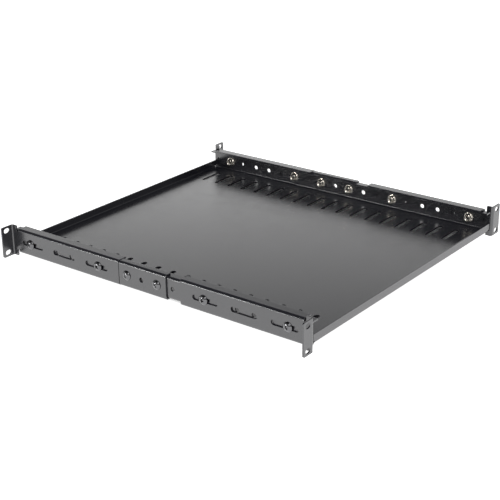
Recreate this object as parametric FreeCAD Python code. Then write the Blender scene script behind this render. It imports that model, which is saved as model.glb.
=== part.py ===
import FreeCAD, Part
import math
import os

# Four-post 1U rack shelf with adjustable depth.
# X runs across the rack (left is -X), Y from front (-Y) to rear (+Y), Z up.
# The origin is under the middle of the shelf, level with the ears' lower edges.
# All sizes are in millimetres. Every piece is drawn once, on the right (+X) side or at
# the rear right corner, and mirrored to where its copies stand.

Vector = FreeCAD.Vector
MIDDLE = Vector(0, 0, 0)
ALONG_X = Vector(1, 0, 0)
ALONG_Y = Vector(0, 1, 0)
ALONG_Z = Vector(0, 0, 1)
FULL_ROUND = 0.99999           # share of a slot's half height used as the radius of its round ends

# Rack interface
PANEL_WIDTH = 482.6            # over the ears, the 19 inch panel width
EAR_WIDTH = 19.05              # from the bracket's web to the ear's outer edge
RACK_HOLE_SPACING = 31.75      # between the two holes of one ear
RACK_HOLE_MARGIN = 6.125       # from a rack hole's centre to the ear's end
RACK_HOLE_EDGE = 8.75          # from a rack hole's centre to the ear's outer edge
RACK_SLOT_LENGTH = 10.0
RACK_SLOT_HEIGHT = 7.0
EAR_CORNER_RADIUS = 2.5
EAR_BEND_RADIUS = 2.0          # inside the bend between web and ear

# Tray: one folded sheet
TRAY_SHEET = 2.0
TRAY_HEIGHT = 30.0             # of the C-shaped sides
TRAY_FLANGE = 12.0             # width of the inward flanges on top of the sides
BEND_RADIUS = 1.5              # inside the bends of the tray and of the channels
LIP_HEIGHT = 12.5              # of the front and rear lips, over the underside
LIP_END_GAP = 0.8              # from a lip's end to the side's inner face
LIP_RELIEF_WIDTH = 2.2         # of the notch between a lip's bend and the side's bend
LIP_RELIEF_DEPTH = 1.0         # how far that notch runs past the lip's bend
LIP_SHOULDER_GAP = 0.3         # under the lip's shoulder, over the notch and the side's bend
HOLE_PITCH = 25.4              # of the row of holes in each side
HOLE_COUNT = 20
HOLE_MARGIN = 7.7              # from the last hole's centre to the tray's end
HOLE_CLEARANCE = 0.5           # of these holes over the screw's diameter
VENT_PITCH = 25.4
VENT_COUNT = 18
VENT_LENGTH = 42.0
VENT_WIDTH = 7.0
VENT_INSET = 26.25             # from the side's outer face to a vent's outer end
VENT_SHIFT = 4.5               # of the whole row of vents, towards the rear

# Brackets: folded channels that wrap the tray's sides
BRACKET_SHEET = 2.0
SLIDING_GAP = 0.5              # above and below the tray's side, inside an end bracket
SEATED_GAP = 0.1               # the same inside a middle bracket
END_FLANGE = 15.0              # width of an end bracket's flanges
MID_FLANGE = 10.0              # width of a middle bracket's flanges
SLOT_PITCH = 60.0              # between the three slots of an end bracket
SLOT_LENGTH = 40.0
SLOT_MARGIN = 40.5             # from the outer slot's centre to the ear's outer face
BRACKET_SETTING = 0.9          # how far the middle slot stands inward of its screws' middle
FLANGE_END = 13.0              # from the ear's outer face to the end of the flanges
ROOT_LENGTH = 9.7              # of the full-height stretch of web beside the ear
ROOT_CORNER_RADIUS = 1.0
RELIEF_DEPTH = 1.1             # how far the reliefs beside the ear run past the bend
MID_REAR_EDGE = 12.9           # from the middle bracket's rear screw to its rear end
MID_FRONT_EDGE = 15.6          # from its front screw to its front end
MID_GAP = 1.0                  # between the middle and the rear end bracket
ADJUSTING_GAP = 23.7           # between the middle and the front end bracket

# Screws and flange nuts
SCREW_DIAMETER = 6.0
SCREW_LENGTH = 8.0             # under the head
SCREW_CLEARANCE = 1.0          # of the brackets' holes and slots over the screw's diameter
SCREW_END_CHAMFER = 0.8
HEAD_DIAMETER = 13.5
HEAD_HEIGHT = 3.4
HEAD_RIM = 0.8
RECESS_WIDTH = 1.4             # of one arm of the cross recess
RECESS_SPAN = 6.4              # over two opposite arms, at the head's top
RECESS_FLOOR_SPAN = 2.2        # over two opposite arms, at the recess's floor
RECESS_DEPTH = 2.3
NUT_HEIGHT = 6.0
NUT_ACROSS_FLATS = 10.0
NUT_CHAMFER = 0.7
NUT_FLANGE_DIAMETER = 14.2
NUT_FLANGE_RIM = 0.9
NUT_FLANGE_HEIGHT = 2.2
NUT_MOUTH_CHAMFER = 0.5
THREAD_GAP = 0.05

# Sizes and places that follow
ear_height = RACK_HOLE_SPACING + 2 * RACK_HOLE_MARGIN
middle_z = ear_height / 2
web_outer_x = PANEL_WIDTH / 2 - EAR_WIDTH
side_outer_x = web_outer_x - BRACKET_SHEET
side_inner_x = side_outer_x - TRAY_SHEET
tray_length = (HOLE_COUNT - 1) * HOLE_PITCH + 2 * HOLE_MARGIN
tray_bottom_z = middle_z - TRAY_HEIGHT / 2
tray_top_z = middle_z + TRAY_HEIGHT / 2
tray_outer_radius = TRAY_SHEET + BEND_RADIUS
bracket_outer_radius = BRACKET_SHEET + BEND_RADIUS
end_half_height = TRAY_HEIGHT / 2 + SLIDING_GAP + BRACKET_SHEET
mid_half_height = TRAY_HEIGHT / 2 + SEATED_GAP + BRACKET_SHEET
lip_end_x = side_inner_x - LIP_END_GAP
side_bend_x = side_outer_x - tray_outer_radius
lip_bend_end_x = side_bend_x - LIP_RELIEF_WIDTH
relief_start_y = tray_length / 2 - tray_outer_radius - LIP_RELIEF_DEPTH
shoulder_z = tray_bottom_z + tray_outer_radius + LIP_SHOULDER_GAP
hole_diameter = SCREW_DIAMETER + HOLE_CLEARANCE
slot_width = SCREW_DIAMETER + SCREW_CLEARANCE
hole_rows = [((HOLE_COUNT - 1) / 2 - index) * HOLE_PITCH for index in range(HOLE_COUNT)]

# Screws of the rear end bracket stand in the second hole and near the inner slot.
slot_span = 2 * SLOT_PITCH
end_screw_step = round(slot_span / HOLE_PITCH)
end_screw_ys = [hole_rows[1], hole_rows[1 + end_screw_step]]
mid_rear_index = HOLE_COUNT // 2 - 2
mid_screw_ys = [hole_rows[mid_rear_index], hole_rows[mid_rear_index + 2]]
mid_open_y = hole_rows[mid_rear_index + 1]
mid_rear_y = mid_screw_ys[0] + MID_REAR_EDGE
mid_front_y = mid_screw_ys[1] - MID_FRONT_EDGE
middle_slot_y = sum(end_screw_ys) / 2 - BRACKET_SETTING
slot_ys = [middle_slot_y + step * SLOT_PITCH for step in (-1, 0, 1)]
ear_outer_y = slot_ys[2] + SLOT_MARGIN
end_inner_y = max(mid_rear_y + MID_GAP, ADJUSTING_GAP - mid_front_y)


def xy_point(a, b):
    return Vector(a, b, 0)


def xz_point(a, b):
    return Vector(a, 0, b)


def yz_point(a, b):
    return Vector(0, a, b)


def rounded_face(corners, place):
    """Face inside corners (a, b, radius), each corner rounded to its radius, put in space by place."""
    ends = []
    arcs = []
    for index, (a, b, radius) in enumerate(corners):
        corner = Vector(a, b, 0)
        before = Vector(*corners[index - 1][:2], 0)
        after = Vector(*corners[(index + 1) % len(corners)][:2], 0)
        if radius == 0:
            ends.append((corner, corner))
            arcs.append(None)
            continue
        back = (before - corner).normalize()
        ahead = (after - corner).normalize()
        half_angle = back.getAngle(ahead) / 2
        tangent = radius / math.tan(half_angle)
        inward = (back + ahead).normalize()
        summit = corner + inward * (radius / math.sin(half_angle) - radius)
        ends.append((corner + back * tangent, corner + ahead * tangent))
        arcs.append(summit)
    edges = []
    for index, (start, finish) in enumerate(ends):
        previous = ends[index - 1][1]
        p0, p1, p2 = (place(point.x, point.y) for point in (previous, start, finish))
        edges.append(Part.LineSegment(p0, p1).toShape())
        if arcs[index] is not None:
            summit = place(arcs[index].x, arcs[index].y)
            edges.append(Part.Arc(p1, summit, p2).toShape())
    return Part.Face(Part.Wire(edges))


def prism(corners, place, start, sweep):
    """Rounded outline swept along a vector, from a start offset."""
    face = rounded_face(corners, place)
    face.translate(start)
    return face.extrude(sweep)


def stadium(length, height):
    """Corners of a slot with round ends, centred on its own middle."""
    radius = height / 2 * FULL_ROUND
    return [(a * length / 2, b * height / 2, radius) for a, b in ((-1, -1), (1, -1), (1, 1), (-1, 1))]


def slot_cutter(length, height, place, centre, sweep):
    """Slot with round ends, long along the outline's first direction, cut both ways from its centre."""
    return prism(stadium(length, height), place, centre - sweep, sweep * 2)


def turned(profile, centre):
    """Solid of revolution about a line along X; the profile is a list of edges in (x, radius)."""
    solid = Part.Face(Part.Wire(profile)).revolve(MIDDLE, ALONG_X, 360)
    solid.translate(centre)
    return solid


def line_chain(points):
    """Straight edges through points given as (x, radius)."""
    return [
        Part.LineSegment(Vector(*start, 0), Vector(*finish, 0)).toShape()
        for start, finish in zip(points, points[1:])
    ]


def tray_side_section():
    """Floor, both sides and their inward flanges, as one folded section across the tray."""
    outer, inner = side_outer_x, side_inner_x
    tip = side_outer_x - TRAY_FLANGE
    low, high = tray_bottom_z, tray_top_z
    wide, tight = tray_outer_radius, BEND_RADIUS
    return [
        (-tip, high, 0), (-outer, high, wide), (-outer, low, wide),
        (outer, low, wide), (outer, high, wide), (tip, high, 0),
        (tip, high - TRAY_SHEET, 0), (inner, high - TRAY_SHEET, tight), (inner, low + TRAY_SHEET, tight),
        (-inner, low + TRAY_SHEET, tight), (-inner, high - TRAY_SHEET, tight), (-tip, high - TRAY_SHEET, 0),
    ]


def tray_lip_section():
    """Floor with the front and rear lips turned up, as one folded section along the tray."""
    outer = tray_length / 2
    inner = outer - TRAY_SHEET
    low = tray_bottom_z
    high = tray_bottom_z + LIP_HEIGHT
    wide, tight = tray_outer_radius, BEND_RADIUS
    return [
        (-outer, high, 0), (-outer, low, wide), (outer, low, wide), (outer, high, 0),
        (inner, high, 0), (inner, low + TRAY_SHEET, tight), (-inner, low + TRAY_SHEET, tight), (-inner, high, 0),
    ]


def corner_boxes(near_x, far_x, height):
    """Boxes at the tray's four corners, from the underside up, that clear the zone of the lips' bends."""
    box = Part.makeBox(
        far_x - near_x, tray_length / 2 - relief_start_y, height + TRAY_SHEET,
        Vector(near_x, relief_start_y, tray_bottom_z - TRAY_SHEET),
    )
    right = [box, box.mirror(MIDDLE, ALONG_Y)]
    return right + [shape.mirror(MIDDLE, ALONG_X) for shape in right]


def tray_vent_cutters():
    """Two rows of long slots across the floor."""
    centre_x = side_outer_x - VENT_INSET - VENT_LENGTH / 2
    centre_z = tray_bottom_z + TRAY_SHEET / 2
    cutters = []
    for index in range(VENT_COUNT):
        y = VENT_SHIFT + ((VENT_COUNT - 1) / 2 - index) * VENT_PITCH
        for x in (-centre_x, centre_x):
            cutters.append(
                slot_cutter(VENT_LENGTH, VENT_WIDTH, xy_point, Vector(x, y, centre_z), ALONG_Z * TRAY_SHEET)
            )
    return cutters


def tray_hole_cutters():
    """One bar through both sides at every hole of the row."""
    reach = side_outer_x + TRAY_SHEET
    return [
        Part.makeCylinder(hole_diameter / 2, 2 * reach, Vector(-reach, y, middle_z), ALONG_X)
        for y in hole_rows
    ]


def make_tray():
    """Tray: floor, C-shaped sides and two lips, with a notch and a shoulder where they meet."""
    sides = prism(
        tray_side_section(), xz_point, Vector(0, -tray_length / 2, 0), ALONG_Y * tray_length
    )
    sides = sides.cut(corner_boxes(0, side_bend_x, TRAY_SHEET))
    lips = prism(tray_lip_section(), yz_point, Vector(-lip_end_x, 0, 0), ALONG_X * (2 * lip_end_x))
    lips = lips.cut(corner_boxes(lip_bend_end_x, side_outer_x, shoulder_z - tray_bottom_z))
    body = sides.fuse(lips).removeSplitter()
    return body.cut(tray_vent_cutters() + tray_hole_cutters())


def channel_section(flange, half_height):
    """C-shaped section of a bracket that wraps the tray's side."""
    outer, inner = web_outer_x, side_outer_x
    tip = web_outer_x - flange
    low, high = middle_z - half_height, middle_z + half_height
    wide, tight = bracket_outer_radius, BEND_RADIUS
    return [
        (tip, high, 0), (outer, high, wide), (outer, low, wide), (tip, low, 0),
        (tip, low + BRACKET_SHEET, 0), (inner, low + BRACKET_SHEET, tight),
        (inner, high - BRACKET_SHEET, tight), (tip, high - BRACKET_SHEET, 0),
    ]


def ear_plan_section():
    """Web and ear seen from above, with the bend between them."""
    outer_edge = PANEL_WIDTH / 2
    start_y = ear_outer_y - FLANGE_END
    ear_inner_y = ear_outer_y - BRACKET_SHEET
    return [
        (side_outer_x, start_y, 0), (side_outer_x, ear_outer_y, EAR_BEND_RADIUS + BRACKET_SHEET),
        (outer_edge, ear_outer_y, 0), (outer_edge, ear_inner_y, 0),
        (web_outer_x, ear_inner_y, EAR_BEND_RADIUS), (web_outer_x, start_y, 0),
    ]


def root_outline():
    """Side view of the web beside the ear: reliefs past the flanges, then full height."""
    start_y = ear_outer_y - FLANGE_END
    root_y = ear_outer_y - ROOT_LENGTH
    relief_top = middle_z + end_half_height - bracket_outer_radius - RELIEF_DEPTH
    relief_bottom = middle_z - end_half_height + bracket_outer_radius + RELIEF_DEPTH
    return [
        (start_y, relief_bottom, 0), (root_y, relief_bottom, 0), (root_y, 0, ROOT_CORNER_RADIUS),
        (ear_outer_y, 0, 0), (ear_outer_y, ear_height, 0),
        (root_y, ear_height, ROOT_CORNER_RADIUS), (root_y, relief_top, 0), (start_y, relief_top, 0),
    ]


def ear_outline():
    """Front view of the ear, with its outer corners rounded."""
    outer_edge = PANEL_WIDTH / 2
    return [
        (side_outer_x, 0, 0), (outer_edge, 0, EAR_CORNER_RADIUS),
        (outer_edge, ear_height, EAR_CORNER_RADIUS), (side_outer_x, ear_height, 0),
    ]


def make_end_bracket():
    """Rear right end bracket: channel, full-height root and rack ear, folded from one sheet."""
    start_y = ear_outer_y - FLANGE_END
    channel = prism(
        channel_section(END_FLANGE, end_half_height), xz_point,
        Vector(0, end_inner_y, 0), ALONG_Y * (start_y - end_inner_y),
    )
    corner = prism(ear_plan_section(), xy_point, MIDDLE, ALONG_Z * ear_height)
    side_view = prism(root_outline(), yz_point, ALONG_X * side_outer_x, ALONG_X * EAR_WIDTH * 2)
    front_view = prism(ear_outline(), xz_point, ALONG_Y * start_y, ALONG_Y * FLANGE_END)
    corner = corner.common(side_view).common(front_view)
    body = channel.fuse(corner).removeSplitter()
    cutters = [
        slot_cutter(
            SLOT_LENGTH, slot_width, yz_point, Vector(web_outer_x, y, middle_z), ALONG_X * 2 * BRACKET_SHEET
        )
        for y in slot_ys
    ]
    rack_hole_x = PANEL_WIDTH / 2 - RACK_HOLE_EDGE
    for z in (middle_z - RACK_HOLE_SPACING / 2, middle_z + RACK_HOLE_SPACING / 2):
        centre = Vector(rack_hole_x, ear_outer_y, z)
        cutters.append(
            slot_cutter(RACK_SLOT_LENGTH, RACK_SLOT_HEIGHT, xz_point, centre, ALONG_Y * 2 * BRACKET_SHEET)
        )
    return body.cut(cutters)


def make_mid_bracket():
    """Right middle bracket: a plain channel with two screw holes and an open one between."""
    channel = prism(
        channel_section(MID_FLANGE, mid_half_height), xz_point,
        Vector(0, mid_front_y, 0), ALONG_Y * (mid_rear_y - mid_front_y),
    )
    cutters = [
        Part.makeCylinder(slot_width / 2, 3 * BRACKET_SHEET, Vector(side_inner_x, y, middle_z), ALONG_X)
        for y in mid_screw_ys + [mid_open_y]
    ]
    return channel.cut(cutters)


def cross_recess():
    """Two crossed tapered bars that leave the driver recess in the head."""
    top, floor = HEAD_HEIGHT, HEAD_HEIGHT - RECESS_DEPTH
    outline = [
        (floor, -RECESS_FLOOR_SPAN / 2, 0), (top, -RECESS_SPAN / 2, 0),
        (top, RECESS_SPAN / 2, 0), (floor, RECESS_FLOOR_SPAN / 2, 0),
    ]
    upright = prism(outline, xz_point, Vector(0, -RECESS_WIDTH / 2, 0), ALONG_Y * RECESS_WIDTH)
    level = prism(outline, xy_point, Vector(0, 0, -RECESS_WIDTH / 2), ALONG_Z * RECESS_WIDTH)
    return upright.fuse(level)


def make_screw(y):
    """Right-hand side screw: low domed head outside the web, shank through both sheets into the nut."""
    shank_end = -SCREW_LENGTH
    shank = SCREW_DIAMETER / 2
    head = HEAD_DIAMETER / 2
    rise = HEAD_HEIGHT - HEAD_RIM
    dome_radius = (head ** 2 + rise ** 2) / (2 * rise)
    half_turn = math.asin(head / dome_radius) / 2
    dome_centre = HEAD_HEIGHT - dome_radius
    summit = Vector(
        dome_centre + dome_radius * math.cos(half_turn), dome_radius * math.sin(half_turn), 0
    )
    edges = line_chain([
        (HEAD_HEIGHT, 0), (shank_end, 0), (shank_end, shank - SCREW_END_CHAMFER),
        (shank_end + SCREW_END_CHAMFER, shank), (0, shank), (0, head), (HEAD_RIM, head),
    ])
    edges.append(Part.Arc(Vector(HEAD_RIM, head, 0), summit, Vector(HEAD_HEIGHT, 0, 0)).toShape())
    centre = Vector(web_outer_x, y, middle_z)
    recess = cross_recess()
    recess.translate(centre)
    return turned(edges, centre).cut(recess)


def make_nut(y):
    """Right-hand side flange nut, seated on the inner face of the tray's side."""
    hub = NUT_ACROSS_FLATS / math.sqrt(3)
    flat = NUT_ACROSS_FLATS / 2
    flange = NUT_FLANGE_DIAMETER / 2
    bore = SCREW_DIAMETER / 2 + THREAD_GAP
    hexagon = [
        (hub * math.cos(math.radians(60 * step)), hub * math.sin(math.radians(60 * step)), 0)
        for step in range(6)
    ]
    centre = Vector(side_inner_x, y, middle_z)
    prism_body = prism(hexagon, yz_point, centre, ALONG_X * -NUT_HEIGHT)
    rounding = turned(line_chain([
        (0, 0), (0, flange), (-NUT_HEIGHT + NUT_CHAMFER, hub), (-NUT_HEIGHT, flat - NUT_CHAMFER / 2),
        (-NUT_HEIGHT, 0), (0, 0),
    ]), centre)
    skirt = turned(line_chain([
        (0, 0), (0, flange), (-NUT_FLANGE_RIM, flange), (-NUT_FLANGE_HEIGHT, flat),
        (-NUT_FLANGE_HEIGHT, 0), (0, 0),
    ]), centre)
    mouth = turned(line_chain([
        (-NUT_HEIGHT, 0), (-NUT_HEIGHT, bore + NUT_MOUTH_CHAMFER), (-NUT_HEIGHT + NUT_MOUTH_CHAMFER, bore),
        (0, bore), (0, 0), (-NUT_HEIGHT, 0),
    ]), centre)
    return prism_body.common(rounding).fuse(skirt).cut(mouth)


def export(shape, node):
    shape.exportStep("parts/" + node + ".step")


def export_pair(shape, name):
    """The right-hand piece as drawn, and its mirror image on the left."""
    export(shape, "right_" + name)
    export(shape.mirror(MIDDLE, ALONG_X), "left_" + name)


def main():
    os.makedirs("parts", exist_ok=True)
    export(make_tray(), "tray")
    end_bracket = make_end_bracket()
    export_pair(end_bracket, "rear_bracket")
    export_pair(end_bracket.mirror(MIDDLE, ALONG_Y), "front_bracket")
    export_pair(make_mid_bracket(), "mid_bracket")
    front_screw_ys = [-y for y in reversed(end_screw_ys)]
    for number, y in enumerate(end_screw_ys + mid_screw_ys + front_screw_ys, start=1):
        export_pair(make_screw(y), "screw_" + str(number))
        export_pair(make_nut(y), "nut_" + str(number))


main()
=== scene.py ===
import math

import bmesh
import bpy
from mathutils import Euler, Matrix, Vector


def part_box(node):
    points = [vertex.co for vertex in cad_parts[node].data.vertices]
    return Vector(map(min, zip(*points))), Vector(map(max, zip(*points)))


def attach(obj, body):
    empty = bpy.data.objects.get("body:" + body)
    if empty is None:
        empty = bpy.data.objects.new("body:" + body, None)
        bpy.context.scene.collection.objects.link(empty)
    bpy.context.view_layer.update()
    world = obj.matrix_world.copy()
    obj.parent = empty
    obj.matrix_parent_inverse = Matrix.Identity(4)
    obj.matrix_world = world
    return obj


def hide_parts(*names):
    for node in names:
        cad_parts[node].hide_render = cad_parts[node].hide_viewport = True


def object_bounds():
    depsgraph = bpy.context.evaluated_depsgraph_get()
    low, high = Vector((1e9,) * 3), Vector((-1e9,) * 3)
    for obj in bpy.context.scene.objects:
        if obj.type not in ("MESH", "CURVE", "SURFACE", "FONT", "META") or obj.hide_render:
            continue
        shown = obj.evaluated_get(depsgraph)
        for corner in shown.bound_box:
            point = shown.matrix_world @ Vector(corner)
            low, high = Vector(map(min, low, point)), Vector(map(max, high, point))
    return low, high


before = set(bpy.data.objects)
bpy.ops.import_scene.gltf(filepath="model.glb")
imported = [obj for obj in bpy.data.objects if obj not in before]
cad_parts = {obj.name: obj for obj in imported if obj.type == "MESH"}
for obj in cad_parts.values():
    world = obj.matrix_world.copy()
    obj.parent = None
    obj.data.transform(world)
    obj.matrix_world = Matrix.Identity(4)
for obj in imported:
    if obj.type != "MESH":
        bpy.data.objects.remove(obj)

cad_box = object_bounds()

# Four-post rack shelf: the tray, its brackets and their bends come from the CAD solids, which
# get a powder coat. Screws and nuts are rebuilt with their threads.
MM = 0.001
WHITE = (1.0, 1.0, 1.0)
BLACK = (0.0, 0.0, 0.0)

# Camera, in metres and degrees
CAMERA_PLACE = Vector((-1.247949, -0.957247, 0.641067))
CAMERA_HEADING = 52.218        # clockwise from +Y, seen from above
CAMERA_DROP = 22.418           # of the view under the horizon
CAMERA_ROLL = -0.758
CAMERA_LENS = 87.22            # millimetres
CAMERA_REACH = 100.0

# Softboxes: name, place, target and size in metres, and power in watts
SOFTBOXES = [
    ("key_softbox", (-1.1, -1.3, 2.1), (0.0, 0.0, 0.0), (1.6, 1.6), 50.0),
    ("left_strip", (-1.95, 1.25, 0.25), (0.0, 0.0, 0.03), (0.6, 0.12), 6.8),
    ("nut_card", (-1.80, -0.45, 0.75), (0.0, 0.0, 0.0), (0.6, 0.4), 2.0),
]

# Surroundings that the coat mirrors: brightness at heights given as the sine of the elevation
SURROUND_PEAK = 0.5
SURROUND_STEPS = [(0.28, 0.46), (0.35, 0.35), (0.43, 0.18), (0.52, 0.08), (0.66, 0.06)]

# Backdrop behind the shelf, in metres: brightness at heights over the floor
BACKDROP_SIDE = (0.79, 0.61)   # direction from the shelf
BACKDROP_DISTANCE = 1.0
BACKDROP_WIDTH = 4.0
BACKDROP_HEIGHT = 1.6
BACKDROP_PEAK = 2.0
BACKDROP_STEPS = [
    (0.20, 1.75), (0.34, 1.25), (0.42, 0.95), (0.50, 0.76), (0.60, 0.62), (0.80, 0.25),
    (1.10, 0.10),
]

# Floor, in metres. Its glow is left out under the shelf, inside this half width and half length:
# painted shade under the shelf
FLOOR_SIZE = 24.0
FLOOR_GAP = 0.0002             # under the shelf
FLOOR_SHADES = (0.80, 0.82)
FLOOR_SHADE_SCALE = 3.0        # features per metre
FLOOR_ROUGHNESS = 0.9
PAINTED_SHADE_SHIFT = 0.0115           # of the painted shade, towards the rear and the right
PAINTED_SHADE_HALF_WIDTH = 0.2235
PAINTED_SHADE_HALF_LENGTH = 0.2455
PAINTED_SHADE_FADE = 0.012
PAINTED_SHADE_LEVEL = 0.0

# Powder coat: scales in features per metre, heights in metres
COAT_COLOURS = ((0.0070, 0.0072, 0.0110), (0.0095, 0.0097, 0.0140))
COAT_COLOUR_SCALE = 9.0
COAT_GRAIN = (0.82, 1.18)      # darkest and lightest, as shares of the colour
COAT_GRAIN_SCALE = 1500.0
COAT_ROUGHNESS = (0.22, 0.26)
COAT_ROUGHNESS_SCALE = 60.0
COAT_IOR = 1.58
COAT_GLOSS = 1.0
PEEL_SCALE = 420.0             # of the orange peel
PEEL_HEIGHT = 0.00010
PEEL_STRENGTH = 0.10
PIMPLE_SCALE = 1700.0          # of the fine roughness on the orange peel
PIMPLE_HEIGHT = 0.00004
PIMPLE_STRENGTH = 0.5
EDGE_ROUND = 0.0004            # of the coat over the brackets' cut edges
EDGE_SAMPLES = 8

# Walls of the vents in the tray's floor, in metres, where the coat's gloss is cut as painted
# shade
VENT_FIELD = (0.205, 0.240)    # half width and half length that hold all the vents
VENT_WALL_TOP = 0.0091
WALL_FADE = 0.0004
WALL_FACING = 0.3              # of the normal's upward part
VENT_WALL_SHADE_GLOSS = 0.15

# Zinc plate: scales in features per metre, heights in metres
SCREW_TINT = (0.15, 0.15, 0.155)
SCREW_ROUGHNESS = 0.09
NUT_TINT = (0.96, 0.91, 0.82)
NUT_ROUGHNESS = 0.12
ZINC_SHADE = 0.86              # of the darkest clouds, as a share of the tint
ZINC_SHADE_SCALE = 700.0
ZINC_ROUGHNESS_RANGE = (0.8, 1.25)     # as shares of the roughness
ZINC_ROUGHNESS_SCALE = 1200.0
MARK_SCALE = 2600.0            # of the marks of tumbling
MARK_HEIGHT = 0.00002
MARK_STRENGTH = 0.35

# Screws and nuts, in millimetres: M6 coarse thread
SIDES = {"left": -1.0, "right": 1.0}
FASTENERS_PER_SIDE = 6
ROOT_BODY = "shelf"
THREAD_PITCH = 1.0
THREAD_DEPTH = 0.55
THREAD_SLOPE = 1.6             # of the flanks, steep enough to leave a flat crest and root
THREAD_ROOT = 0.3              # cut from the wave to leave the root flat
THREAD_STEPS = 10              # rings to one turn of thread
ROUND_STEPS = 60               # points round a ring

# Screw, in millimetres: lengths run from the seat
SHANK_RADIUS = 2.95
NECK_SWELL = 0.05
NECK_LENGTH = 0.3
PLAIN_LENGTH = 1.2             # of the shank without thread
THREAD_RUNOUT = 0.7            # from the thread's end to the tip
TIP_DEPTH = 0.05
TIP_INSETS = (0.1, 0.2)        # under the thread's root, before and at the tip
SEAT_GAP = 0.03                # between a head and the bracket that slides under it
HEAD_CHAMFER = 0.12
DOME_RINGS = 12
RIM_RINGS = 4
RIM_ROUND = 0.45
RIM_SWELL = 0.4                # outward, as a share of RIM_ROUND
RIM_DROP = 0.55                # downward, as a share of the rim's height
SCREW_SHARP = 38               # degrees between faces that leave a sharp edge
RECESS_TOP_SPAN = 3.3          # from the screw's middle to an arm's end
RECESS_TOP_WIDTH = 0.75        # half of an arm's width
RECESS_FLOOR_SPAN = 1.15
RECESS_FLOOR_WIDTH = 0.5
RECESS_CORNER = 1.35           # of the cross's inner corners, as a share of these widths
RECESS_DEPTH = 2.2
RECESS_OVERSHOOT = 0.2         # of the cutter over the head's top

# Flange nut, in millimetres: heights run from the seat
NUT_ACROSS_FLATS = 10.0
NUT_BORE_RADIUS = 3.02
SEAT_BEVEL = 0.35              # of the bore, at the seat
FLANGE_FOOT = (0.12, 0.15)     # height and inset of the flange's lower edge
FLANGE_RIM_TOP = 0.75
FLANGE_TOP = 0.95
FLANGE_INSET = 0.2             # of the flange's upper edge
CONE_RINGS = 6                 # from the flange up to the hexagon
CONE_ROUND_RINGS = 4           # of these, before the hexagon cuts in
CONE_RISE = 1.35
CONE_CURVE = 1.6               # power that the rise follows
CONE_MARGIN = 0.35             # of the cone's corners, past its round part
HEXAGON_START = 2.7
CORNER_RINGS = 8
CORNER_CUT = 0.95              # of the corners, at the open end
CORNER_HEIGHT = 0.75
MOUTH_BEVEL = 0.5
NUT_THREAD_MARGINS = (0.6, 0.5)    # under the open end and over the seat
NUT_SHARP = 30                 # degrees between faces that leave a sharp edge

# Turns of the screws and nuts about their axes, in degrees, so that no two look alike
TURN_STEP = 37.0
TURN_OF_SIDE = 11.0
NUT_TURN = 1.7                 # as a multiple of the screw's turn


# --- Node trees --------------------------------------------------------------------------

def grey(level):
    return (level, level, level)


def feed(tree, target, value):
    """Gives an input a constant or another node's output."""
    if isinstance(value, bpy.types.NodeSocket):
        tree.links.new(value, target)
    else:
        target.default_value = value


def compute(tree, operation, *values):
    """Result of a maths node over constants and outputs."""
    node = tree.nodes.new("ShaderNodeMath")
    node.operation = operation
    for target, value in zip(node.inputs, values):
        feed(tree, target, value)
    return node.outputs["Value"]


def split(tree, source):
    """X, Y and Z of a vector."""
    node = tree.nodes.new("ShaderNodeSeparateXYZ")
    tree.links.new(source, node.inputs["Vector"])
    return node.outputs


def step_curve(tree, source, steps, peak, span):
    """Value that follows (place, brightness) steps over a source that runs from 0 to the span."""
    ramp = tree.nodes.new("ShaderNodeFloatCurve")
    tree.links.new(compute(tree, "DIVIDE", source, span), ramp.inputs["Value"])
    curve = ramp.mapping.curves[0]
    for place, brightness in steps:
        curve.points.new(place / span, brightness / peak)
    curve.points[0].location = (0.0, 1.0)
    curve.points[-1].location = (1.0, steps[-1][1] / peak)
    for point in curve.points:
        point.handle_type = "VECTOR"
    ramp.mapping.update()
    return compute(tree, "MULTIPLY", ramp.outputs["Value"], peak)


class Nodes:
    """Small helper round one material's node tree."""

    def __init__(self, name):
        self.material = bpy.data.materials.new(name)
        self.material.use_nodes = True
        self.tree = self.material.node_tree
        self.shader = self.tree.nodes["Principled BSDF"]
        coordinates = self.add("ShaderNodeTexCoord")
        self.place = coordinates.outputs["Object"]
        self.facing = coordinates.outputs["Normal"]

    def add(self, kind, **settings):
        node = self.tree.nodes.new(kind)
        for key, value in settings.items():
            setattr(node, key, value)
        return node

    def link(self, source, target):
        self.tree.links.new(source, target)

    def surface(self, inputs):
        """Sets inputs of the material's shader, by name."""
        for name, value in inputs.items():
            feed(self.tree, self.shader.inputs[name], value)

    def noise(self, scale, detail=3.0):
        """Noise over the object's own place, in features per metre."""
        noise = self.add("ShaderNodeTexNoise")
        noise.inputs["Scale"].default_value = scale
        noise.inputs["Detail"].default_value = detail
        self.link(self.place, noise.inputs["Vector"])
        return noise.outputs["Fac"]

    def spread(self, source, low, high, from_low=0.3, from_high=0.7):
        """Maps a range of the source, by default a noise's usual one, to low..high."""
        node = self.add("ShaderNodeMapRange")
        node.inputs["From Min"].default_value = from_low
        node.inputs["From Max"].default_value = from_high
        node.inputs["To Min"].default_value = low
        node.inputs["To Max"].default_value = high
        self.link(source, node.inputs["Value"])
        return node.outputs["Result"]

    def blend(self, factor, low, high):
        """Colour between low and high by a factor."""
        mix = self.add("ShaderNodeMix", data_type="RGBA")
        self.link(factor, mix.inputs["Factor"])
        mix.inputs["A"].default_value = (*low, 1.0)
        mix.inputs["B"].default_value = (*high, 1.0)
        return mix.outputs["Result"]

    def bump(self, height, distance, strength, below=None):
        node = self.add("ShaderNodeBump")
        node.inputs["Distance"].default_value = distance
        node.inputs["Strength"].default_value = strength
        self.link(height, node.inputs["Height"])
        if below is not None:
            self.link(below, node.inputs["Normal"])
        return node.outputs["Normal"]


# --- Materials ---------------------------------------------------------------------------

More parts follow.
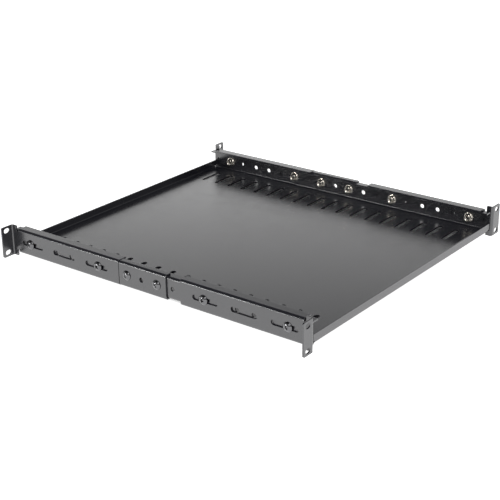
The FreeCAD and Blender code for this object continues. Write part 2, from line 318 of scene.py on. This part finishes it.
def vent_wall_shade_mask(nodes):
    """1 on the walls of the vents punched through the tray's floor, and 0 elsewhere: where
    painted shade goes.
    """
    place = split(nodes.tree, nodes.place)
    facing = split(nodes.tree, nodes.facing)
    share = nodes.spread(
        place["Z"], 1.0, 0.0, from_low=VENT_WALL_TOP, from_high=VENT_WALL_TOP + WALL_FADE
    )
    for source, limit, fade in (
        (facing["Z"], WALL_FACING, WALL_FACING),
        (place["X"], VENT_FIELD[0], WALL_FADE),
        (place["Y"], VENT_FIELD[1], WALL_FADE),
    ):
        away = compute(nodes.tree, "ABSOLUTE", source)
        inside = nodes.spread(away, 1.0, 0.0, from_low=limit, from_high=limit + fade)
        share = compute(nodes.tree, "MULTIPLY", share, inside)
    return share


def powder_coat(name, edge_round=None):
    """Satin black powder coat. Edges look rounded where a radius is given."""
    nodes = Nodes(name)
    cloud = nodes.spread(nodes.noise(COAT_COLOUR_SCALE, detail=2.0), 0.0, 1.0)
    grain = nodes.spread(nodes.noise(COAT_GRAIN_SCALE, detail=2.0), 0.0, 1.0)
    speck = nodes.add("ShaderNodeMix", data_type="RGBA", blend_type="MULTIPLY")
    speck.inputs["Factor"].default_value = 1.0
    nodes.link(nodes.blend(cloud, *COAT_COLOURS), speck.inputs["A"])
    nodes.link(nodes.blend(grain, *map(grey, COAT_GRAIN)), speck.inputs["B"])
    edge = None
    if edge_round:
        bevel = nodes.add("ShaderNodeBevel", samples=EDGE_SAMPLES)
        bevel.inputs["Radius"].default_value = edge_round
        edge = bevel.outputs["Normal"]
    peel = nodes.bump(
        nodes.noise(PEEL_SCALE, detail=1.0), PEEL_HEIGHT, PEEL_STRENGTH, below=edge
    )
    pimples = nodes.bump(
        nodes.noise(PIMPLE_SCALE, detail=2.0), PIMPLE_HEIGHT, PIMPLE_STRENGTH, below=peel
    )
    nodes.surface({
        "Base Color": speck.outputs["Result"],
        "Roughness": nodes.spread(nodes.noise(COAT_ROUGHNESS_SCALE, detail=4.0), *COAT_ROUGHNESS),
        "Normal": pimples,
        "IOR": COAT_IOR,
        "Specular IOR Level": COAT_GLOSS,
    })
    return nodes


def zinc_plate(name, tint, roughness):
    """Zinc plate, clear or blackened, with faint clouding and the fine marks of tumbling."""
    nodes = Nodes(name)
    cloud = nodes.spread(nodes.noise(ZINC_SHADE_SCALE), 0.0, 1.0)
    darker = tuple(channel * ZINC_SHADE for channel in tint)
    smooth, rough = (roughness * share for share in ZINC_ROUGHNESS_RANGE)
    nodes.surface({
        "Base Color": nodes.blend(cloud, darker, tint),
        "Roughness": nodes.spread(nodes.noise(ZINC_ROUGHNESS_SCALE, detail=4.0), smooth, rough),
        "Normal": nodes.bump(nodes.noise(MARK_SCALE), MARK_HEIGHT, MARK_STRENGTH),
        "Metallic": 1.0,
    })
    return nodes.material


# --- CAD nodes ---------------------------------------------------------------------------

def dress_sheet_metal(node_names, material):
    """Coats the folded pieces."""
    for name in node_names:
        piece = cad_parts[name]
        piece.data.materials.clear()
        piece.data.materials.append(material)


# --- Screws and nuts ---------------------------------------------------------------------

def thread_wave(turn):
    """0 at the root and 1 at the crest of a thread, for a place along the thread in turns."""
    part = turn - math.floor(turn)
    return min(max(THREAD_SLOPE * (1.0 - abs(2.0 * part - 1.0)) - THREAD_ROOT, 0.0), 1.0)


def to_mesh(made, name):
    mesh = bpy.data.meshes.new(name)
    made.to_mesh(mesh)
    made.free()
    return mesh


def ring_mesh(name, rings, closed):
    """Mesh through rings of (height, radius by angle), where a radius of None is a pole."""
    made = bmesh.new()
    loops = []
    for height, radius in rings:
        if radius is None:
            loops.append([made.verts.new((0.0, 0.0, height * MM))])
            continue
        loop = []
        for step in range(ROUND_STEPS):
            angle = 2 * math.pi * step / ROUND_STEPS
            reach = radius(angle) * MM
            place = (reach * math.cos(angle), reach * math.sin(angle), height * MM)
            loop.append(made.verts.new(place))
        loops.append(loop)
    pairs = list(zip(loops, loops[1:]))
    if closed:
        pairs.append((loops[-1], loops[0]))
    for first, second in pairs:
        for step in range(ROUND_STEPS):
            after = (step + 1) % ROUND_STEPS
            if len(first) == 1:
                made.faces.new((first[0], second[step], second[after]))
            elif len(second) == 1:
                made.faces.new((first[step], second[0], first[after]))
            else:
                made.faces.new((first[step], second[step], second[after], first[after]))
    bmesh.ops.recalc_face_normals(made, faces=made.faces)
    return to_mesh(made, name)


def fixed(radius):
    return lambda angle: radius


def thread_rings(start, finish, crest_radius):
    """Rings along a right-hand thread from one height to another."""
    count = max(2, round(abs(finish - start) / THREAD_PITCH * THREAD_STEPS))
    rings = []
    for index in range(count + 1):
        height = start + (finish - start) * index / count

        def radius(angle, height=height):
            turn = height / THREAD_PITCH - angle / (2 * math.pi)
            return crest_radius - THREAD_DEPTH * (1.0 - thread_wave(turn))

        rings.append((height, radius))
    return rings


def head_rings(head_radius, head_height):
    """Dome of a low pan head, from its middle out, over a rounded rim to the flat underside."""
    rim_height = RIM_ROUND * 2
    swell = RIM_ROUND * RIM_SWELL
    rise = head_height - rim_height
    edge = head_radius - swell
    dome_radius = (edge ** 2 + rise ** 2) / (2 * rise)
    half_angle = math.asin(edge / dome_radius)
    rings = [(head_height, None)]
    for index in range(1, DOME_RINGS + 1):
        angle = half_angle * index / DOME_RINGS
        height = head_height - dome_radius * (1 - math.cos(angle))
        rings.append((height, fixed(dome_radius * math.sin(angle))))
    for index in range(1, RIM_RINGS + 1):
        angle = math.pi / 2 * (index / RIM_RINGS)
        height = rim_height * (1 - RIM_DROP * math.sin(angle) ** 2)
        rings.append((height, fixed(edge + swell * math.sin(angle))))
    rings.append((HEAD_CHAMFER, fixed(head_radius)))
    rings.append((SEAT_GAP, fixed(head_radius - HEAD_CHAMFER)))
    return rings


def recess_cutter(head_height):
    """Tapered cross that leaves the driver recess."""
    made = bmesh.new()
    levels = []
    for height, span, width in (
        (head_height - RECESS_DEPTH, RECESS_FLOOR_SPAN, RECESS_FLOOR_WIDTH),
        (head_height + RECESS_OVERSHOOT, RECESS_TOP_SPAN, RECESS_TOP_WIDTH),
    ):
        inner = width * RECESS_CORNER
        corners = []
        for quarter in range(4):
            turn = Matrix.Rotation(quarter * math.pi / 2, 2)
            for a, b in ((span, -width), (span, width), (inner, inner)):
                corner = turn @ Vector((a, b))
                corners.append(made.verts.new((corner.x * MM, corner.y * MM, height * MM)))
        levels.append(corners)
    floor, top = levels
    made.faces.new(list(reversed(floor)))
    made.faces.new(top)
    for index in range(len(floor)):
        after = (index + 1) % len(floor)
        made.faces.new((floor[index], floor[after], top[after], top[index]))
    return to_mesh(made, "recess_cutter")


def carve(mesh, cutter_mesh, name):
    """Mesh with the cutter's shape taken out."""
    target = bpy.data.objects.new(name + "_blank", mesh)
    cutter = bpy.data.objects.new(name + "_cutter", cutter_mesh)
    for piece in (target, cutter):
        bpy.context.collection.objects.link(piece)
    boolean = target.modifiers.new("recess", "BOOLEAN")
    boolean.operation = "DIFFERENCE"
    boolean.object = cutter
    boolean.solver = "EXACT"
    bpy.context.view_layer.update()
    shaped = target.evaluated_get(bpy.context.evaluated_depsgraph_get())
    result = bpy.data.meshes.new_from_object(shaped)
    result.name = name
    for piece in (target, cutter):
        bpy.data.objects.remove(piece)
    return result


def shade(mesh, sharp_degrees):
    mesh.shade_smooth()
    mesh.set_sharp_from_angle(angle=math.radians(sharp_degrees))


def screw_mesh(head_radius, head_height, shank_length):
    """Machine screw on local Z: head above the seat at 0, thread below it."""
    root_radius = SHANK_RADIUS - THREAD_DEPTH
    before_tip, at_tip = TIP_INSETS
    rings = head_rings(head_radius, head_height)
    rings.append((SEAT_GAP, fixed(SHANK_RADIUS + NECK_SWELL)))
    rings.append((-NECK_LENGTH, fixed(SHANK_RADIUS)))
    rings += thread_rings(-PLAIN_LENGTH, -shank_length + THREAD_RUNOUT, SHANK_RADIUS)
    rings.append((-shank_length + TIP_DEPTH, fixed(root_radius - before_tip)))
    rings.append((-shank_length, fixed(root_radius - at_tip)))
    rings.append((-shank_length, None))
    blank = ring_mesh("screw_blank", rings, closed=False)
    mesh = carve(blank, recess_cutter(head_height), "side_screw")
    shade(mesh, SCREW_SHARP)
    return mesh


def nut_mesh(flange_radius, height, across_flats):
    """Flange nut on local Z: seat at 0, open end at its height."""
    flat = across_flats / 2
    corner_limit = flat * 2 / math.sqrt(3)
    top_radius = flange_radius - FLANGE_INSET

    def hexagon(limit):
        def radius(angle):
            part = (angle + math.pi / 6) % (math.pi / 3) - math.pi / 6
            return min(flat / math.cos(part), limit)
        return radius

    foot_height, foot_inset = FLANGE_FOOT
    rings = [
        (0.0, fixed(NUT_BORE_RADIUS + SEAT_BEVEL)),
        (0.0, fixed(flange_radius - foot_inset)),
        (foot_height, fixed(flange_radius)),
        (FLANGE_RIM_TOP, fixed(flange_radius)),
        (FLANGE_TOP, fixed(top_radius)),
    ]
    for index in range(1, CONE_RINGS + 1):
        share = index / CONE_RINGS
        reach = top_radius - (top_radius - flat) * share
        outline = fixed(reach) if index <= CONE_ROUND_RINGS else hexagon(reach + CONE_MARGIN)
        rings.append((FLANGE_TOP + CONE_RISE * share ** CONE_CURVE, outline))
    rings.append((HEXAGON_START, hexagon(corner_limit)))
    for index in range(CORNER_RINGS):
        share = index / (CORNER_RINGS - 1)
        limit = corner_limit - share * CORNER_CUT
        rings.append((height - CORNER_HEIGHT + CORNER_HEIGHT * share, hexagon(limit)))
    rings.append((height, fixed(NUT_BORE_RADIUS + MOUTH_BEVEL)))
    rings.append((height - MOUTH_BEVEL, fixed(NUT_BORE_RADIUS)))
    under_end, over_seat = NUT_THREAD_MARGINS
    rings += thread_rings(height - under_end, over_seat, NUT_BORE_RADIUS)
    mesh = ring_mesh("flange_nut", rings, closed=True)
    shade(mesh, NUT_SHARP)
    return mesh


def place_fastener(mesh, name, node, seat, facing, turn):
    """Stands a fastener's mesh for its CAD node: seat at a point, local Z along the facing."""
    piece = bpy.data.objects.new(name, mesh)
    bpy.context.collection.objects.link(piece)
    axis = Vector((facing, 0.0, 0.0))
    upright = axis.to_track_quat("Z", "Y").to_matrix().to_4x4()
    piece.matrix_world = Matrix.Translation(seat) @ upright @ Matrix.Rotation(turn, 4, "Z")
    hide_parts(node)
    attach(piece, ROOT_BODY)


def build_fasteners():
    """Every screw and nut, sized and placed by the CAD nodes that they stand for."""
    low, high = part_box("right_screw_1")
    nut_low, nut_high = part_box("right_nut_1")
    web_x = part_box("right_mid_bracket")[1][0]
    screw = screw_mesh((high[1] - low[1]) / 2 / MM, (high[0] - web_x) / MM, (web_x - low[0]) / MM)
    screw.materials.append(zinc_plate("black_zinc_screw", SCREW_TINT, SCREW_ROUGHNESS))
    nut_radius = (nut_high[1] - nut_low[1]) / 2 / MM
    nut = nut_mesh(nut_radius, (nut_high[0] - nut_low[0]) / MM, NUT_ACROSS_FLATS)
    nut.materials.append(zinc_plate("zinc_nut", NUT_TINT, NUT_ROUGHNESS))
    for side, sign in SIDES.items():
        for number in range(1, FASTENERS_PER_SIDE + 1):
            turn = math.radians(TURN_STEP * number + TURN_OF_SIDE * sign)
            node = side + "_screw_" + str(number)
            low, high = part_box(node)
            seat = Vector((sign * web_x, (low[1] + high[1]) / 2, (low[2] + high[2]) / 2))
            place_fastener(screw, node + "_detailed", node, seat, sign, turn)
            node = side + "_nut_" + str(number)
            seat.x = sign * nut_high[0]
            place_fastener(
                nut, node + "_detailed", node, seat, -sign, turn * NUT_TURN
            )


# --- Stage -------------------------------------------------------------------------------

def painted_shade_under_shelf(nodes):
    """Share of the floor's glow that is left at a place: painted shade, with little of the glow
    left well under the shelf.
    """
    place = split(nodes.tree, nodes.place)
    outside = []
    for axis, reach in (("X", PAINTED_SHADE_HALF_WIDTH), ("Y", PAINTED_SHADE_HALF_LENGTH)):
        centred = compute(nodes.tree, "SUBTRACT", place[axis], PAINTED_SHADE_SHIFT)
        away = compute(nodes.tree, "ABSOLUTE", centred)
        outside.append(compute(nodes.tree, "SUBTRACT", away, reach))
    farthest = compute(nodes.tree, "MAXIMUM", *outside)
    return nodes.spread(farthest, PAINTED_SHADE_LEVEL, 1.0, from_low=-PAINTED_SHADE_FADE, from_high=0.0)


def build_floor():
    """Plain white floor that glows for the camera and reflections and keeps the shadow. Its glow
    is taken out under the shelf, which is painted shade.
    """
    height = cad_box[0][2] - FLOOR_GAP
    bpy.ops.mesh.primitive_plane_add(size=FLOOR_SIZE, location=(0.0, 0.0, height))
    floor = bpy.context.object
    floor.name = "floor"
    nodes = Nodes("floor_white_painted_shade")
    rays = nodes.add("ShaderNodeLightPath").outputs
    shown = compute(nodes.tree, "MAXIMUM", rays["Is Camera Ray"], rays["Is Glossy Ray"])
    nodes.surface({
        "Base Color": nodes.blend(nodes.noise(FLOOR_SHADE_SCALE), *map(grey, FLOOR_SHADES)),
        "Roughness": FLOOR_ROUGHNESS,
        "Specular IOR Level": 0.0,
        "Emission Color": (*WHITE, 1.0),
        # Painted shade: the glow fades out under the shelf
        "Emission Strength": compute(nodes.tree, "MULTIPLY", shown, painted_shade_under_shelf(nodes)),
    })
    floor.data.materials.append(nodes.material)


def build_world():
    """White for the camera; for reflections a dim surround that fades to a darker ceiling."""
    world = bpy.data.worlds.new("studio_surround")
    bpy.context.scene.world = world
    world.use_nodes = True
    tree = world.node_tree
    background = tree.nodes["Background"]
    place = split(tree, tree.nodes.new("ShaderNodeTexCoord").outputs["Generated"])
    surround = step_curve(tree, place["Z"], SURROUND_STEPS, SURROUND_PEAK, 1.0)
    rays = tree.nodes.new("ShaderNodeLightPath")
    level = tree.nodes.new("ShaderNodeMix")
    level.data_type = "FLOAT"
    tree.links.new(rays.outputs["Is Camera Ray"], level.inputs["Factor"])
    tree.links.new(surround, level.inputs["A"])
    level.inputs["B"].default_value = 1.0
    tree.links.new(level.outputs["Result"], background.inputs["Strength"])
    background.inputs["Color"].default_value = (*WHITE, 1.0)


def build_backdrop():
    """Glowing screen behind the shelf, brightest at its foot, for reflections and light only."""
    side = Vector((*BACKDROP_SIDE, 0.0)).normalized()
    across = Vector((-side.y, side.x, 0.0)) * BACKDROP_WIDTH / 2
    foot = side * BACKDROP_DISTANCE
    top = Vector((0.0, 0.0, BACKDROP_HEIGHT))
    corners = [foot - across, foot + across, foot + across + top, foot - across + top]
    mesh = bpy.data.meshes.new("backdrop")
    mesh.from_pydata(corners, [], [(0, 1, 2, 3)])
    backdrop = bpy.data.objects.new("backdrop", mesh)
    bpy.context.collection.objects.link(backdrop)
    nodes = Nodes("backdrop_glow")
    place = split(nodes.tree, nodes.place)
    glow = step_curve(nodes.tree, place["Z"], BACKDROP_STEPS, BACKDROP_PEAK, BACKDROP_HEIGHT)
    nodes.surface({
        "Base Color": (*BLACK, 1.0),
        "Specular IOR Level": 0.0,
        "Emission Color": (*WHITE, 1.0),
        "Emission Strength": glow,
    })
    mesh.materials.append(nodes.material)
    backdrop.visible_camera = False
    backdrop.visible_shadow = False


def add_softbox(name, place, target, size, power):
    light = bpy.data.lights.new(name, "AREA")
    light.shape = "RECTANGLE"
    light.size, light.size_y = size
    light.energy = power
    lamp = bpy.data.objects.new(name, light)
    bpy.context.collection.objects.link(lamp)
    lamp.location = place
    lamp.rotation_euler = (Vector(target) - Vector(place)).to_track_quat("-Z", "Y").to_euler()


def build_camera():
    lens = bpy.data.cameras.new("camera")
    lens.lens = CAMERA_LENS
    lens.clip_end = CAMERA_REACH
    camera = bpy.data.objects.new("camera", lens)
    bpy.context.collection.objects.link(camera)
    angles = (math.radians(90.0 - CAMERA_DROP), 0.0, math.radians(-CAMERA_HEADING))
    look = Euler(angles).to_matrix().to_4x4()
    roll = Matrix.Rotation(math.radians(CAMERA_ROLL), 4, "Z")
    camera.matrix_world = Matrix.Translation(CAMERA_PLACE) @ look @ roll
    bpy.context.scene.camera = camera


def main():
    tray_coat = powder_coat("tray_coat_black")
    # Painted shade: the vent walls lose most of the coat's gloss, so they read dark as if shaded
    gloss = tray_coat.spread(
        vent_wall_shade_mask(tray_coat), COAT_GLOSS, VENT_WALL_SHADE_GLOSS, from_low=0.0, from_high=1.0
    )
    tray_coat.surface({"Specular IOR Level": gloss})
    dress_sheet_metal(["tray"], tray_coat.material)
    brackets = [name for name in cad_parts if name.endswith("_bracket")]
    dress_sheet_metal(brackets, powder_coat("bracket_coat_black", EDGE_ROUND).material)
    build_fasteners()
    build_floor()
    build_world()
    build_backdrop()
    for softbox in SOFTBOXES:
        add_softbox(*softbox)
    build_camera()
    bpy.context.scene.view_settings.view_transform = "Standard"


main()
